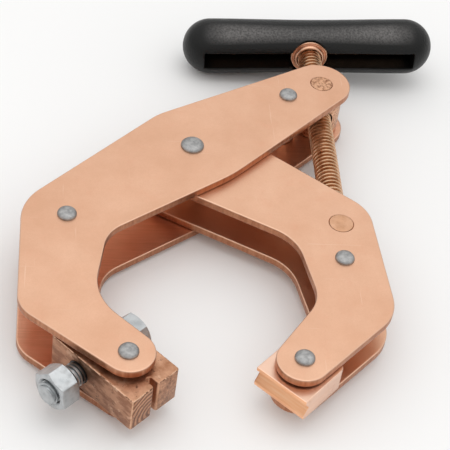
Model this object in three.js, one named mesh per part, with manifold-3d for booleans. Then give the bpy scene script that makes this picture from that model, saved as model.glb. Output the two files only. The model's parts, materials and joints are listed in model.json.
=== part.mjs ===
// Cross-arm screw clamp used as a welding ground clamp: two riveted pairs of copper-plated steel
// plates cross at a main pivot, a screw between two trunnions spreads their upper ends, and the
// jaws close on the work at the lower ends. Millimetres, +Z up, the clamp lies on its side.
//
// Plan coordinates (x, y) are measured from the main pivot, with +Y along the screw towards the
// handle, and z from the plane half-way between the plates. The group is then moved so that the
// origin is the centre of the bottom of the bounding box.
import * as THREE from "three";
import { mergeVertices } from "three/addons/utils/BufferGeometryUtils.js";
import Module from "manifold-3d";

const wasm = await Module();
wasm.setup();

// Driving dimensions.
const PLATE = 4.1; // thickness of each arm plate
const RIGHT_GAP = 15; // clear width between the right arm's plates
const SIDE_PLAY = 0.5; // left plate to right plate, on each side
const LEFT_GAP = RIGHT_GAP + 2 * (PLATE + SIDE_PLAY); // clear width between the left arm's plates
const CLEARANCE = 0.3; // between pieces that touch or turn in each other
const HEAD_HEIGHT = 2.4; // peened rivet head
const HEAD_LIFT = 0.02; // rivet head from plate
const PIVOT_OFFSET = [-28.78, 17.85]; // main pivot, from the centre of the bounding box

const PIVOT = [0, 0];
const NUT_PIN = [70.6, 53.9]; // nut trunnion axis, on the left arm
const SEAT_PIN = [70.6, -45.8]; // seat trunnion axis, on the right arm
const TAIL_RIVET = [51.9, 42.7];
const LEFT_HEEL_RIVET = [-61.0, -52.0];
const RIGHT_HEEL_RIVET = [69.5, -69.6];
const GROUND_RIVET = [-33.4, -134.9];
const SWIVEL_RIVET = [44.4, -131.9];

const PIVOT_SHANK = 3.97; // shank radii
const RIVET_SHANK = 3.2;
const PIVOT_HEAD = 5.8; // head radii
const RIVET_HEAD = 4.65;
const SPACER_RADIUS = 6.6; // outer radii of the tubes and washers on the rivets
const PIVOT_SPACER_RADIUS = 9;
const GROUND_SPACER_RADIUS = 7.2;
const SWIVEL_WASHER_RADIUS = 6.4;
const NUT_PIN_RADIUS = 5.65;
const SEAT_PIN_RADIUS = 5.85;
const NUT_BODY_RADIUS = 12.2;
const SEAT_BODY_RADIUS = 10.4;

const SCREW_RADIUS = 6.35;
const SCREW_NECK = 4.7;
const SCREW_SHOULDER = 8.3; // above the seat trunnion's axis
const SCREW_END = 14.2; // below it, where the end is peened over
const HANDLE_Y = 106.3; // axis of the T-handle
const HANDLE_HALF = 69.5;
const HANDLE_RADIUS = 15.1;
const HANDLE_WAIST = 14.5;
const HANDLE_TURN = -3.7 * (Math.PI / 180); // about the screw's axis, as it was last left

// The arms' outlines are belts stretched round wheels [x, y, radius], counter-clockwise.
// A negative radius bends the belt the other way, for the curves of the throat.
const LEFT_OUTLINE = [
  [70.0, 53.8, 15.8], // round the nut trunnion
  [3.9, -3.9, 33.4],
  [-54.5, -55.3, 27.9], // heel
  [-66.5, -103.3, 15.6],
  [-33.2, -134.6, 11.9], // round the jaw rivet
  [-18.4, -92.8, -28.3], // throat
  [-24.6, -73.6, -19.1],
  [-34.6, 44.7, 83.4],
];
const RIGHT_OUTLINE = [
  [65.9, -45.4, 20.4], // round the seat trunnion
  [0, 0, 27], // round the main pivot
  [26.5, -72.8, -23.6], // throat
  [33.6, -91.5, -20.1],
  [43.8, -132.7, 12.2], // round the jaw rivet
  [66.9, -95.1, 22.8], // heel
];

function finish(color, roughness, metalness) {
  return new THREE.MeshStandardMaterial({ color, roughness, metalness });
}

const copper = finish(0xe3a583, 0.42, 0.85);
const screwCopper = finish(0xb9784c, 0.35, 0.9);
const sawnCopper = finish(0xb87a5a, 0.5, 0.85);
const brightCopper = finish(0xe8a678, 0.25, 0.9);
const rivetSteel = finish(0x9a9a98, 0.45, 0.9);
const zincSteel = finish(0xc9ccce, 0.3, 0.95);
const blackPlastic = finish(0x1b1b1c, 0.5, 0);

const clamp = new THREE.Group();

function place(name, geometry, material, [x, y] = PIVOT, z = 0) {
  const mesh = new THREE.Mesh(geometry, material);
  mesh.name = name;
  mesh.position.set(x, y, z);
  clamp.add(mesh);
  return mesh;
}

function toSolid(geometry) {
  const bare = geometry.clone();
  bare.deleteAttribute("normal");
  bare.deleteAttribute("uv");
  const merged = mergeVertices(bare, 1e-4);
  return new wasm.Manifold(
    new wasm.Mesh({
      numProp: 3,
      vertProperties: new Float32Array(merged.attributes.position.array),
      triVerts: new Uint32Array(merged.index.array),
    }),
  );
}

function toGeometry(solid) {
  const mesh = solid.getMesh();
  const geometry = new THREE.BufferGeometry();
  geometry.setAttribute("position", new THREE.BufferAttribute(new Float32Array(mesh.vertProperties), 3));
  geometry.setIndex(new THREE.BufferAttribute(new Uint32Array(mesh.triVerts), 1));
  geometry.computeVertexNormals();
  return geometry;
}

function cut(geometry, ...tools) {
  return toGeometry(tools.reduce((left, tool) => left.subtract(toSolid(tool)), toSolid(geometry)));
}

function join(...pieces) {
  return toGeometry(pieces.map(toSolid).reduce((sum, piece) => sum.add(piece)));
}

// A solid of revolution from [radius, height] points, with its axis along Z.
function turned(profile, segments = 20) {
  const points = profile.map(([radius, height]) => new THREE.Vector2(radius, height));
  return new THREE.LatheGeometry(points, segments).rotateX(Math.PI / 2);
}

function alongX(geometry) {
  return geometry.rotateY(Math.PI / 2);
}

function alongY(geometry) {
  return geometry.rotateX(-Math.PI / 2);
}

function rod(radius, from, to, segments = 20) {
  return turned([[0, from], [radius, from], [radius, to], [0, to]], segments);
}

function tube(inner, outer, length, segments = 20) {
  const half = length / 2;
  return turned([[inner, -half], [outer, -half], [outer, half], [inner, half], [inner, -half]], segments);
}

function circlePath([x, y], radius, segments = 20) {
  const points = [];
  for (let i = 0; i < segments; i++) {
    const angle = (2 * Math.PI * i) / segments;
    points.push(new THREE.Vector2(x + radius * Math.cos(angle), y + radius * Math.sin(angle)));
  }
  return new THREE.Path(points);
}

function beltShape(wheels) {
  // The direction, at each wheel, of the radius that meets the straight run to the next wheel.
  const leaving = wheels.map(([x, y, radius], i) => {
    const [nextX, nextY, nextRadius] = wheels[(i + 1) % wheels.length];
    const run = Math.hypot(nextX - x, nextY - y);
    return Math.atan2(nextY - y, nextX - x) - Math.acos((radius - nextRadius) / run);
  });
  const shape = new THREE.Shape();
  wheels.forEach(([x, y, radius], i) => {
    const arriving = leaving[(i + wheels.length - 1) % wheels.length];
    if (radius > 0) shape.absarc(x, y, radius, arriving, leaving[i], false);
    else shape.absarc(x, y, -radius, arriving + Math.PI, leaving[i] + Math.PI, true);
  });
  return shape;
}

function plate(wheels, holes) {
  const shape = beltShape(wheels);
  shape.holes = holes.map(([centre, radius]) => circlePath(centre, radius + CLEARANCE));
  return new THREE.ExtrudeGeometry(shape, { depth: PLATE, bevelEnabled: false, curveSegments: 4 });
}

// A front and a rear plate, the same clear width apart all over.
function platePair(name, wheels, holes, gap) {
  place(name + "_front_plate", plate(wheels, holes), copper, PIVOT, gap / 2);
  place(name + "_rear_plate", plate(wheels, holes), copper, PIVOT, -gap / 2 - PLATE);
}

// Peened at both ends, over a stack of the given thickness. The crown is flattened a little.
function rivet(shank, head, stack) {
  const face = stack / 2 + HEAD_LIFT;
  const dome = [
    [shank, face],
    [head, face],
    [head * 0.96, face + HEAD_HEIGHT * 0.35],
    [head * 0.8, face + HEAD_HEIGHT * 0.72],
    [head * 0.55, face + HEAD_HEIGHT * 0.93],
    [head * 0.28, face + HEAD_HEIGHT],
    [0, face + HEAD_HEIGHT],
  ];
  const lower = dome.map(([radius, height]) => [radius, -height]).reverse();
  return turned([...lower, ...dome]);
}

// Pins at both ends, flush with the outer faces of the plates, and a bore for the screw along Y.
function trunnion(radius, pinRadius, gap, bore, flats = []) {
  const shoulder = gap / 2 - CLEARANCE;
  const end = gap / 2 + PLATE;
  const body = turned(
    [[0, -end], [pinRadius, -end], [pinRadius, -shoulder], [radius, -shoulder],
      [radius, shoulder], [pinRadius, shoulder], [pinRadius, end], [0, end]],
    28,
  );
  const drill = alongY(rod(bore, -2 * radius, 2 * radius));
  return cut(body, drill, ...flats);
}

// ---- Left arm: the outer pair of plates, with the ground jaw and the nut trunnion.
const leftStack = LEFT_GAP + 2 * PLATE;
platePair("left_arm", LEFT_OUTLINE, [
  [PIVOT, PIVOT_SHANK],
  [NUT_PIN, NUT_PIN_RADIUS],
  [TAIL_RIVET, RIVET_SHANK],
  [LEFT_HEEL_RIVET, RIVET_SHANK],
  [GROUND_RIVET, RIVET_SHANK],
], LEFT_GAP);
place("main_pivot_rivet", rivet(PIVOT_SHANK, PIVOT_HEAD, leftStack), rivetSteel, PIVOT);
place("tail_rivet", rivet(RIVET_SHANK, RIVET_HEAD, leftStack), rivetSteel, TAIL_RIVET);
place("left_heel_rivet", rivet(RIVET_SHANK, RIVET_HEAD, leftStack), rivetSteel, LEFT_HEEL_RIVET);
place("ground_jaw_rivet", rivet(RIVET_SHANK, RIVET_HEAD, leftStack), rivetSteel, GROUND_RIVET);
const leftSpacer = tube(RIVET_SHANK + CLEARANCE, SPACER_RADIUS, LEFT_GAP - 2 * CLEARANCE);
place("tail_spacer", leftSpacer, copper, TAIL_RIVET);
place("left_heel_spacer", leftSpacer, copper, LEFT_HEEL_RIVET);

// ---- Right arm: the inner pair of plates, with the swivel jaw and the seat trunnion.
const rightStack = RIGHT_GAP + 2 * PLATE;
platePair("right_arm", RIGHT_OUTLINE, [
  [PIVOT, PIVOT_SHANK],
  [SEAT_PIN, SEAT_PIN_RADIUS],
  [RIGHT_HEEL_RIVET, RIVET_SHANK],
  [SWIVEL_RIVET, RIVET_SHANK],
], RIGHT_GAP);
place("right_heel_rivet", rivet(RIVET_SHANK, RIVET_HEAD, rightStack), rivetSteel, RIGHT_HEEL_RIVET);
place("swivel_jaw_rivet", rivet(RIVET_SHANK, RIVET_HEAD, rightStack), rivetSteel, SWIVEL_RIVET);
const rightSpacerLength = RIGHT_GAP - 2 * CLEARANCE;
const rightSpacer = tube(RIVET_SHANK + CLEARANCE, SPACER_RADIUS, rightSpacerLength);
place("right_heel_spacer", rightSpacer, copper, RIGHT_HEEL_RIVET);
const pivotSpacer = tube(PIVOT_SHANK + CLEARANCE, PIVOT_SPACER_RADIUS, rightSpacerLength);
place("main_pivot_spacer", pivotSpacer, copper, PIVOT);

// ---- Screw, its two trunnions and the washer that its peened end holds.
const NUT_BORE = SCREW_RADIUS + 0.95; // the screw passes freely: its thread isn't cut in the solids
const nutTrunnion = trunnion(NUT_BODY_RADIUS, NUT_PIN_RADIUS, LEFT_GAP, NUT_BORE);
place("nut_trunnion", nutTrunnion, screwCopper, NUT_PIN);

// The seat trunnion has a flat under the screw's shoulder and one over its end washer.
const SEAT_UPPER_FLAT = SCREW_SHOULDER - CLEARANCE;
const SEAT_LOWER_FLAT = -9.2;
const seatFlats = [SEAT_UPPER_FLAT, SEAT_LOWER_FLAT].map((height) => {
  const depth = SEAT_BODY_RADIUS;
  const width = 3 * SEAT_BODY_RADIUS;
  const centre = height + (Math.sign(height) * depth) / 2;
  return new THREE.BoxGeometry(width, depth, width).translate(0, centre, 0);
});
const seatBore = SCREW_NECK + CLEARANCE;
const seatTrunnion = trunnion(SEAT_BODY_RADIUS, SEAT_PIN_RADIUS, RIGHT_GAP, seatBore, seatFlats);
place("seat_trunnion", seatTrunnion, screwCopper, SEAT_PIN);

// Heights along the screw are from the seat trunnion's axis.
const HEAD_RADIUS = 5.9; // peened end, under the washer
const HEAD_TOP = -11.6;
const END_WASHER = { radius: 7, thickness: 1.6, height: -10.4 };
const THREAD_CHAMFER = 1.2;
const handleHeight = HANDLE_Y - SEAT_PIN[1];
const threadTop = handleHeight - 6.3;
const neckTop = handleHeight + 6; // in the handle's hub
const screwProfile = [
  [0, -SCREW_END], [HEAD_RADIUS - 1.3, -SCREW_END], [HEAD_RADIUS, -SCREW_END + 0.8], [HEAD_RADIUS, HEAD_TOP],
  [SCREW_NECK, HEAD_TOP], [SCREW_NECK, SCREW_SHOULDER],
  [SCREW_RADIUS - THREAD_CHAMFER, SCREW_SHOULDER], [SCREW_RADIUS, SCREW_SHOULDER + THREAD_CHAMFER],
  [SCREW_RADIUS, threadTop], [SCREW_NECK, threadTop], [SCREW_NECK, neckTop], [0, neckTop],
];
place("screw_spindle", alongY(turned(screwProfile, 24)), screwCopper, SEAT_PIN);
const endWasher = alongY(tube(SCREW_NECK + CLEARANCE, END_WASHER.radius, END_WASHER.thickness));
place("screw_end_washer", endWasher, rivetSteel, [SEAT_PIN[0], SEAT_PIN[1] + END_WASHER.height]);

// ---- T-handle: a moulded grip with an open channel, over a crossbar with a hub on the screw.
const HUB_RADIUS = 8.3;
const CHANNEL_HALF_HEIGHT = 5.1;
const CHANNEL_HALF_LENGTH = 58;
const CROSSBAR_RADIUS = 4.7;
const CROSSBAR_HALF = 55;
const SPOT_FACE_RADIUS = 10.9; // flat on the grip round the screw, for the collar
const SPOT_FACE_Y = -7.6;
const WAIST_HALF = 10; // straight part of the waist
const DEEP = 20; // past the grip's surface
const handlePlace = [NUT_PIN[0], HANDLE_Y];

function gripBody() {
  const centre = HANDLE_HALF - HANDLE_RADIUS; // of the round ends
  const profile = [];
  const steps = 7;
  for (let i = 0; i <= steps; i++) {
    const angle = (Math.PI / 2) * (i / steps);
    profile.push([HANDLE_RADIUS * Math.sin(angle), -centre - HANDLE_RADIUS * Math.cos(angle)]);
  }
  profile[0][0] = 0;
  const half = profile.map(([radius, height]) => [radius, -height]).reverse();
  const waist = [[HANDLE_WAIST, -WAIST_HALF], [HANDLE_WAIST, WAIST_HALF]];
  return turned([...profile, ...waist, ...half], 28);
}

function channel() {
  // Open towards the clamp, with a round bottom behind the crossbar.
  const half = CHANNEL_HALF_HEIGHT;
  const shape = new THREE.Shape();
  shape.absarc(0, 0, half, -Math.PI / 2, Math.PI / 2, false);
  shape.lineTo(-DEEP, half);
  shape.lineTo(-DEEP, -half);
  const depth = 2 * CHANNEL_HALF_LENGTH;
  const bar = new THREE.ExtrudeGeometry(shape, { depth, bevelEnabled: false, curveSegments: 4 });
  // Shape x becomes +Y and shape y becomes +Z, extruded along X.
  bar.translate(0, 0, -CHANNEL_HALF_LENGTH);
  return bar.applyMatrix4(new THREE.Matrix4().set(0, 0, 1, 0, 1, 0, 0, 0, 0, 1, 0, 0, 0, 0, 0, 1));
}

const HUB_TOP = 6.5;
const hubPocket = alongY(rod(HUB_RADIUS + CLEARANCE, -DEEP, HUB_TOP + 0.4, 24));
const spotFace = alongY(rod(SPOT_FACE_RADIUS, -DEEP, SPOT_FACE_Y, 24));
const gripGeometry = cut(alongX(gripBody()), channel(), hubPocket, spotFace);
const grip = place("handle_grip", gripGeometry, blackPlastic, handlePlace);
const hub = alongY(rod(HUB_RADIUS, -6, HUB_TOP, 24));
const hubBore = alongY(rod(SCREW_NECK + CLEARANCE, -DEEP, 6 + CLEARANCE, 20));
const bar = alongX(rod(CROSSBAR_RADIUS, -CROSSBAR_HALF, CROSSBAR_HALF, 16));
const crossbar = place("handle_crossbar", cut(join(bar, hub), hubBore), screwCopper, handlePlace);
grip.rotation.y = HANDLE_TURN;
crossbar.rotation.y = HANDLE_TURN;

// A dished collar round the screw, with a raised lip inside and a turned-up rim outside.
const collarProfile = [
  [6.7, -8.0], [6.7, -11.6], [7.6, -11.9], [8.3, -11.0], [8.6, -9.2],
  [9.3, -10.2], [9.9, -10.4], [10.2, -9.9], [10.0, -8.6], [9.2, -7.9], [6.7, -8.0],
];
place("handle_collar", alongY(turned(collarProfile, 24)), copper, handlePlace);

// ---- Ground jaw: a sawn bar between the left plates, bolted through for the cable lug.
const GROUND_WIDTH = 28.4;
const GROUND_LENGTH = 50.8;
const GROUND_THICKNESS = 19.05;
const GROUND_ANGLE = -46.4 * (Math.PI / 180); // of the bar's length, from +X
const GROUND_REACH = 17.9; // rivet to clamping face
const BOLT_BACK = 15.3; // rivet to bolt axis, away from the clamping face
const KERF = [2.7, 5.6]; // width and depth of the saw cut in the clamping face
const GROUND_BEVEL = 0.8; // of the bar's upright edges
const BOLT_RADIUS = 5.56; // 7/16 inch bolt
const boltDrill = alongY(rod(BOLT_RADIUS + CLEARANCE, -GROUND_WIDTH, GROUND_WIDTH));

// In the jaw's own frame, +X points out of the clamping face and the rivet is at the origin.
const groundJaw = new THREE.Group();
groundJaw.position.set(...GROUND_RIVET, 0);
groundJaw.rotation.z = GROUND_ANGLE;
clamp.add(groundJaw);

function placeOn(group, name, geometry, material, x = 0, y = 0, z = 0) {
  const mesh = place(name, geometry, material, [x, y], z);
  group.add(mesh);
}

function groundBlock() {
  const left = GROUND_REACH - GROUND_LENGTH;
  const half = GROUND_WIDTH / 2;
  const [kerfWidth, kerfDepth] = KERF;
  const floor = GROUND_REACH - kerfDepth;
  const bevel = GROUND_BEVEL;
  const outline = [
    [left, -half + bevel], [left + bevel, -half],
    [GROUND_REACH - bevel, -half], [GROUND_REACH, -half + bevel],
    [GROUND_REACH, -kerfWidth / 2], [floor, -kerfWidth / 2], [floor, kerfWidth / 2],
    [GROUND_REACH, kerfWidth / 2], [GROUND_REACH, half - bevel], [GROUND_REACH - bevel, half],
    [left + bevel, half], [left, half - bevel],
  ];
  const shape = new THREE.Shape(outline.map(([x, y]) => new THREE.Vector2(x, y)));
  shape.holes = [circlePath(PIVOT, RIVET_SHANK + CLEARANCE)];
  const block = new THREE.ExtrudeGeometry(shape, { depth: GROUND_THICKNESS, bevelEnabled: false });
  block.translate(0, 0, -GROUND_THICKNESS / 2);
  return cut(block, boltDrill.clone().translate(-BOLT_BACK, 0, 0));
}

placeOn(groundJaw, "ground_jaw_block", groundBlock(), sawnCopper);
const groundWasherThickness = (LEFT_GAP - GROUND_THICKNESS) / 2 - 0.5;
const groundWasherZ = (LEFT_GAP + GROUND_THICKNESS) / 4;
const groundWasher = tube(RIVET_SHANK + CLEARANCE, GROUND_SPACER_RADIUS, groundWasherThickness);
place("ground_jaw_spacer_front", groundWasher, rivetSteel, GROUND_RIVET, groundWasherZ);
place("ground_jaw_spacer_rear", groundWasher, rivetSteel, GROUND_RIVET, -groundWasherZ);

// The bolt's parts, in order along the bar's +Y: nut, bar, head. The nut stands off the bar,
// which leaves room on the shank for a cable lug.
const HEX_RADIUS = 17.46 / Math.sqrt(3); // 11/16 inch across the flats
const HEAD_THICKNESS = 7.6;
const NUT_THICKNESS = 9.5;
const NUT_STAND_OFF = 7.4; // bar to nut
const BOLT_TAIL = 2.4; // past the nut
const HEAD_TURN = 34 * (Math.PI / 180); // of a corner, from +Z
const NUT_TURN = -10.2 * (Math.PI / 180);

function hexPrism(thickness, turn, chamfer) {
  // The axis is Y, and the corners are turned down on one side or both.
  const prism = new THREE.CylinderGeometry(HEX_RADIUS, HEX_RADIUS, thickness, 6).rotateY(turn);
  const inner = HEX_RADIUS * 0.87;
  const drop = HEX_RADIUS * 0.08;
  const outer = HEX_RADIUS + 0.05;
  const half = thickness / 2;
  const low = chamfer.low ? [[inner, -half], [outer, -half + drop]] : [[outer, -half]];
  const high = chamfer.high ? [[outer, half - drop], [inner, half]] : [[outer, half]];
  const barrel = alongY(turned([[0, -half], ...low, ...high, [0, half]], 24));
  return toGeometry(toSolid(prism).intersect(toSolid(barrel)));
}

const headFrom = GROUND_WIDTH / 2 + CLEARANCE;
const nutFrom = GROUND_WIDTH / 2 + NUT_STAND_OFF;
const boltEnd = nutFrom + NUT_THICKNESS + BOLT_TAIL;
const inHead = headFrom + 2; // the shank runs a little way into the head
const boltPoint = 0.9; // chamfer on the bolt's end
const shankProfile = [
  [0, -boltEnd], [BOLT_RADIUS - boltPoint, -boltEnd], [BOLT_RADIUS, -boltEnd + boltPoint],
  [BOLT_RADIUS, inHead], [0, inHead],
];
const hexHead = hexPrism(HEAD_THICKNESS, HEAD_TURN, { low: false, high: true });
hexHead.translate(0, headFrom + HEAD_THICKNESS / 2, 0);
placeOn(groundJaw, "ground_bolt", join(hexHead, alongY(turned(shankProfile))), zincSteel, -BOLT_BACK);
const nut = cut(hexPrism(NUT_THICKNESS, NUT_TURN, { low: true, high: true }), boltDrill);
placeOn(groundJaw, "ground_nut", nut, zincSteel, -BOLT_BACK, -(nutFrom + NUT_THICKNESS / 2));

// ---- Swivel jaw: a block between the right plates, with a groove along its clamping face.
const SWIVEL_WIDTH = 28;
const SWIVEL_LENGTH = 28.6;
const SWIVEL_THICKNESS = 12.7;
const SWIVEL_ANGLE = -133.8 * (Math.PI / 180); // of the clamping face's outward normal, from +X
const SWIVEL_REACH = 15.4; // rivet to clamping face
const GROOVE = { centre: 0.7, halfHeight: 3.9, depth: 2.9 };
const SWIVEL_LIP = 2; // round on the clamping face's lower edge
const SWIVEL_CHAMFER = 0.5; // on its upper edge
const SWIVEL_CORNER = 3; // round on the two rear corners

function swivelBlock() {
  const half = SWIVEL_THICKNESS / 2;
  const rear = SWIVEL_REACH - SWIVEL_LENGTH;
  const upper = GROOVE.centre + GROOVE.halfHeight;
  const lower = GROOVE.centre - GROOVE.halfHeight;
  // Side view: x out of the clamping face, y up.
  const side = new THREE.Shape();
  side.moveTo(rear, -half);
  side.lineTo(SWIVEL_REACH - SWIVEL_LIP, -half);
  side.absarc(SWIVEL_REACH - SWIVEL_LIP, -half + SWIVEL_LIP, SWIVEL_LIP, -Math.PI / 2, 0, false);
  side.lineTo(SWIVEL_REACH, lower);
  side.lineTo(SWIVEL_REACH - GROOVE.depth, GROOVE.centre);
  side.lineTo(SWIVEL_REACH, upper);
  side.lineTo(SWIVEL_REACH, half - SWIVEL_CHAMFER);
  side.lineTo(SWIVEL_REACH - SWIVEL_CHAMFER, half);
  side.lineTo(rear, half);
  const across = { depth: SWIVEL_WIDTH, bevelEnabled: false, curveSegments: 2 };
  const profile = new THREE.ExtrudeGeometry(side, across);
  profile.translate(0, 0, -SWIVEL_WIDTH / 2).rotateX(Math.PI / 2);
  // Plan view: rounded corners at the rear, and the rivet's hole.
  const centreX = rear + SWIVEL_CORNER;
  const centreY = SWIVEL_WIDTH / 2 - SWIVEL_CORNER;
  const plan = new THREE.Shape();
  plan.moveTo(SWIVEL_REACH, -SWIVEL_WIDTH / 2);
  plan.lineTo(SWIVEL_REACH, SWIVEL_WIDTH / 2);
  plan.absarc(centreX, centreY, SWIVEL_CORNER, Math.PI / 2, Math.PI, false);
  plan.absarc(centreX, -centreY, SWIVEL_CORNER, Math.PI, 1.5 * Math.PI, false);
  plan.holes = [circlePath(PIVOT, RIVET_SHANK + CLEARANCE)];
  const depth = SWIVEL_THICKNESS + 2;
  const column = new THREE.ExtrudeGeometry(plan, { depth, bevelEnabled: false, curveSegments: 2 });
  column.translate(0, 0, -depth / 2);
  return toGeometry(toSolid(profile).intersect(toSolid(column)));
}

const swivelJaw = place("swivel_jaw_block", swivelBlock(), brightCopper, SWIVEL_RIVET);
swivelJaw.rotation.z = SWIVEL_ANGLE;
const swivelWasherThickness = (RIGHT_GAP - SWIVEL_THICKNESS) / 2 - 0.4;
const swivelWasherZ = (RIGHT_GAP + SWIVEL_THICKNESS) / 4;
const swivelWasher = tube(RIVET_SHANK + CLEARANCE, SWIVEL_WASHER_RADIUS, swivelWasherThickness);
place("swivel_jaw_washer_front", swivelWasher, rivetSteel, SWIVEL_RIVET, swivelWasherZ);
place("swivel_jaw_washer_rear", swivelWasher, rivetSteel, SWIVEL_RIVET, -swivelWasherZ);

clamp.position.set(...PIVOT_OFFSET, LEFT_GAP / 2 + PLATE + HEAD_LIFT + HEAD_HEIGHT);

export default clamp;
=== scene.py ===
# The looks of a welding ground clamp: copper-plated plate arms, peened rivets, a trunnion screw
# with a moulded T-handle, a sawn bar jaw with its lug bolt, and a grooved swivel jaw.
import json
import math

import bmesh
import bpy
from mathutils import Matrix, Vector, noise
from mathutils.geometry import tessellate_polygon

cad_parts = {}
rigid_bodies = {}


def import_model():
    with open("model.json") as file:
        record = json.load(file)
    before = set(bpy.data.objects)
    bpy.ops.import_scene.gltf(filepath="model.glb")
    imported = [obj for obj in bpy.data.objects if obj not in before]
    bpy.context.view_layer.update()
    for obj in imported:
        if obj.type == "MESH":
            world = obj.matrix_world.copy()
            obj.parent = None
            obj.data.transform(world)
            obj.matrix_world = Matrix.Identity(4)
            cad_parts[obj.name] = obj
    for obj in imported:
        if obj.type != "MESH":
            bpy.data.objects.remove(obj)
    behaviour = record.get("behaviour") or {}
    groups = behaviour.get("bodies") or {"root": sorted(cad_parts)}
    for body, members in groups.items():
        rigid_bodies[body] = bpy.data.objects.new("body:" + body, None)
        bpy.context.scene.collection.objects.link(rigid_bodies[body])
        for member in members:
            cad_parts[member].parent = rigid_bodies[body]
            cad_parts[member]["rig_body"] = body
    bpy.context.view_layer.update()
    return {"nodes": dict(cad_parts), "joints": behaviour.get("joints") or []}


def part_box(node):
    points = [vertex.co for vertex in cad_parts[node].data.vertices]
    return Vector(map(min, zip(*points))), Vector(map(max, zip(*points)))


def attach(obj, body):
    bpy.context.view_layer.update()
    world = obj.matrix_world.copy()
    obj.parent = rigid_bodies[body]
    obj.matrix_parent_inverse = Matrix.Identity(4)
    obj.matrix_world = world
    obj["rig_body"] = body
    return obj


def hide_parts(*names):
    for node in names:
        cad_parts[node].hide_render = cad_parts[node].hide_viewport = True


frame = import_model()

# ---- Places and driving dimensions. Shapes are in millimetres, each in its piece's own frame.
MM = 0.001
JOINTS = {joint["name"]: Vector(joint["pos_m"]) / MM for joint in frame["joints"]}
PIVOT = JOINTS["main_pivot"]
MID_Z = PIVOT.z


def span(node, axis):
    """The lowest and highest value of a CAD node along an axis, in millimetres."""
    low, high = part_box(node)
    return low[axis] / MM, high[axis] / MM


def middle(node):
    low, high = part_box(node)
    return (low + high) / (2 * MM)


CLEARANCE = 0.3
PLATE = span("left_arm_front_plate", 2)[1] - span("left_arm_front_plate", 2)[0]
LEFT_GAP = 2 * (span("left_arm_front_plate", 2)[0] - MID_Z)
RIGHT_GAP = 2 * (span("right_arm_front_plate", 2)[0] - MID_Z)

PIVOT_SHANK = 3.97
PIVOT_HEAD = 5.8
RIVET_SHANK = 3.2
RIVET_HEAD = 4.65
NUT_PIN = 5.65
SEAT_PIN = 5.85

# Outlines of the arms as belts round wheels (x, y, radius), measured from the main pivot.
LEFT_OUTLINE = [
    (70.0, 53.8, 15.8),
    (3.9, -3.9, 33.4),
    (-54.5, -55.3, 27.9),
    (-66.5, -103.3, 15.6),
    (-33.2, -134.6, 11.9),
    (-18.4, -92.8, -28.3),
    (-24.6, -73.6, -19.1),
    (-34.6, 44.7, 83.4),
]
RIGHT_OUTLINE = [
    (65.9, -45.4, 20.4),
    (0.0, 0.0, 27.0),
    (26.5, -72.8, -23.6),
    (33.6, -91.5, -20.1),
    (43.8, -132.7, 12.2),
    (66.9, -95.1, 22.8),
]

SCREW_RADIUS = 6.35
SCREW_ROOT = 5.15
SCREW_NECK = 4.7
SCREW_PITCH = 2.54
SCREW_SHOULDER = 8.3  # above the seat trunnion's axis
HANDLE = Vector((JOINTS["screw_turn"].x, PIVOT.y + 106.3, MID_Z))
HANDLE_TURN = math.radians(-3.7)
GROUND_ANGLE = math.radians(-46.4)
SWIVEL_ANGLE = math.radians(-133.8)


# ---- Mesh helpers. A shape is a pair of lists: points and faces.
TUBE_EDGE = 0.35
ARC_STEP = math.radians(3)  # of the arms' round corners
EDGE_STEPS = 3  # faces round a slab's edge
FLAT_RING = 0.12  # a narrow flat ring keeps the shading of the big faces level
HOLE_EDGE = 0.25
HOLE_SEGMENTS = 48
THREAD_STEPS = 40  # per turn
ON_AXIS = 1e-6  # a radius below this is a point on the axis


def ring_faces(a, b):
    """Quads between two closed rings of point indices."""
    count = len(a)
    return [(a[i], a[(i + 1) % count], b[(i + 1) % count], b[i]) for i in range(count)]


def soften(profile, size, closed=False, steps=3):
    """The profile with each corner cut back by size and rounded."""
    count = len(profile)
    out = []
    for i, corner in enumerate(profile):
        if not closed and i in (0, count - 1):
            out.append(corner)
            continue
        here = Vector(corner)
        before = Vector(profile[i - 1])
        after = Vector(profile[(i + 1) % count])
        reach = min(size, 0.45 * (before - here).length, 0.45 * (after - here).length)
        start = here + (before - here).normalized() * reach
        end = here + (after - here).normalized() * reach
        for k in range(steps + 1):
            t = k / steps
            out.append(tuple(start * (1 - t) ** 2 + here * 2 * t * (1 - t) + end * t**2))
    return out


def lathe(profile, segments=64):
    """A solid turned about Z from (radius, height) points that run from axis to axis, or close."""
    on_axis = profile[0][0] < ON_AXIS
    points, faces, rings = [], [], []
    for radius, height in profile:
        if radius < ON_AXIS:
            rings.append([len(points)])
            points.append((0.0, 0.0, height))
            continue
        first = len(points)
        for i in range(segments):
            angle = math.tau * i / segments
            points.append((radius * math.cos(angle), radius * math.sin(angle), height))
        rings.append(list(range(first, first + segments)))
    pairs = list(zip(rings, rings[1:]))
    if not on_axis:
        pairs.append((rings[-1], rings[0]))
    for a, b in pairs:
        if len(a) == 1:
            faces += [(a[0], b[(i + 1) % segments], b[i]) for i in range(segments)]
        elif len(b) == 1:
            faces += [(a[i], a[(i + 1) % segments], b[0]) for i in range(segments)]
        else:
            faces += ring_faces(a, b)
    return points, faces


def tube(inner, outer, length):
    half = length / 2
    corners = [(inner, -half), (outer, -half), (outer, half), (inner, half)]
    return lathe(soften(corners, TUBE_EDGE, closed=True))


def plug(radius, low, high, segments):
    """A plain cylinder along Z, to cut with."""
    return lathe([(0, low), (radius, low), (radius, high), (0, high)], segments)


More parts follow.
